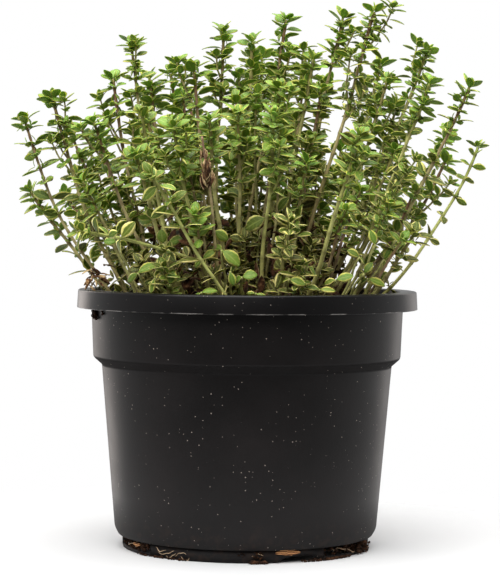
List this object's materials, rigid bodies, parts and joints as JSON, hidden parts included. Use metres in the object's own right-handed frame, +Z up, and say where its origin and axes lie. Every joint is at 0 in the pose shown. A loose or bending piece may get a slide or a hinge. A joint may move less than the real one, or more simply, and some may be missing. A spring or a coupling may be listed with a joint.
{
  "type": "potted thyme",
  "caption": "Bushy variegated thyme with leafy square stems fanning out of peat in a round black nursery pot with a rolled rim.",
  "frame": {"origin": "on the pot's axis, at the surface that the pot stands on", "axes": "+Z up; -Y towards the front, where the foot ring has no drain slot; +X to the right seen from the front"},
  "size_m": [0.1821, 0.1386, 0.2061],
  "materials": {
    "pot_plastic": "black polypropylene, satin outside, dusty",
    "peat": "damp peat with root fibres and bark crumbs",
    "thyme_leaf": "small glossy green leaves with cream yellow margins",
    "thyme_stem": "square stems, pale green below and tan above",
    "dry_leaf": "dead brown leaves"
  },
  "bodies": {
    "root": {"pot": "pot_plastic", "peat": "peat", "shoot_left_1": "thyme_leaf", "shoot_left_2": "thyme_leaf", "shoot_left_3": "thyme_leaf", "shoot_left_4": "thyme_leaf", "shoot_left_5": "thyme_leaf", "shoot_left_6": "thyme_leaf", "shoot_left_7": "thyme_leaf", "shoot_left_8": "thyme_leaf", "shoot_top_1": "thyme_leaf", "shoot_top_2": "thyme_leaf", "shoot_top_3": "thyme_leaf", "shoot_top_4": "thyme_leaf", "shoot_top_5": "thyme_leaf", "shoot_top_6": "thyme_leaf", "shoot_top_7": "thyme_leaf", "shoot_top_8": "thyme_leaf", "shoot_top_9": "thyme_leaf", "shoot_top_10": "thyme_leaf", "shoot_top_11": "thyme_leaf", "shoot_top_12": "thyme_leaf", "shoot_right_1": "thyme_leaf", "shoot_right_2": "thyme_leaf", "shoot_right_3": "thyme_leaf", "shoot_right_4": "thyme_leaf", "shoot_right_5": "thyme_leaf", "shoot_right_6": "thyme_leaf", "shoot_right_7": "thyme_leaf", "shoot_right_8": "thyme_leaf", "shoot_right_9": "thyme_leaf", "shoot_front_1": "thyme_leaf", "shoot_front_2": "thyme_leaf", "shoot_front_3": "thyme_leaf", "shoot_front_4": "thyme_leaf", "shoot_front_5": "thyme_leaf", "shoot_front_6": "thyme_leaf", "shoot_front_7": "thyme_leaf", "shoot_front_8": "thyme_leaf", "shoot_front_9": "thyme_leaf", "shoot_front_10": "thyme_leaf", "shoot_front_11": "thyme_leaf", "shoot_front_12": "thyme_leaf", "shoot_back_1": "thyme_leaf", "shoot_back_2": "thyme_leaf", "shoot_back_3": "thyme_leaf", "shoot_back_4": "thyme_leaf", "shoot_back_5": "thyme_leaf", "shoot_back_6": "thyme_leaf", "shoot_back_7": "thyme_leaf", "shoot_back_8": "thyme_leaf", "shoot_back_9": "thyme_leaf", "shoot_back_10": "thyme_leaf", "shoot_low_1": "thyme_leaf", "shoot_low_2": "thyme_leaf", "shoot_low_3": "thyme_leaf", "shoot_low_4": "thyme_leaf"}
  },
  "joints": []
}
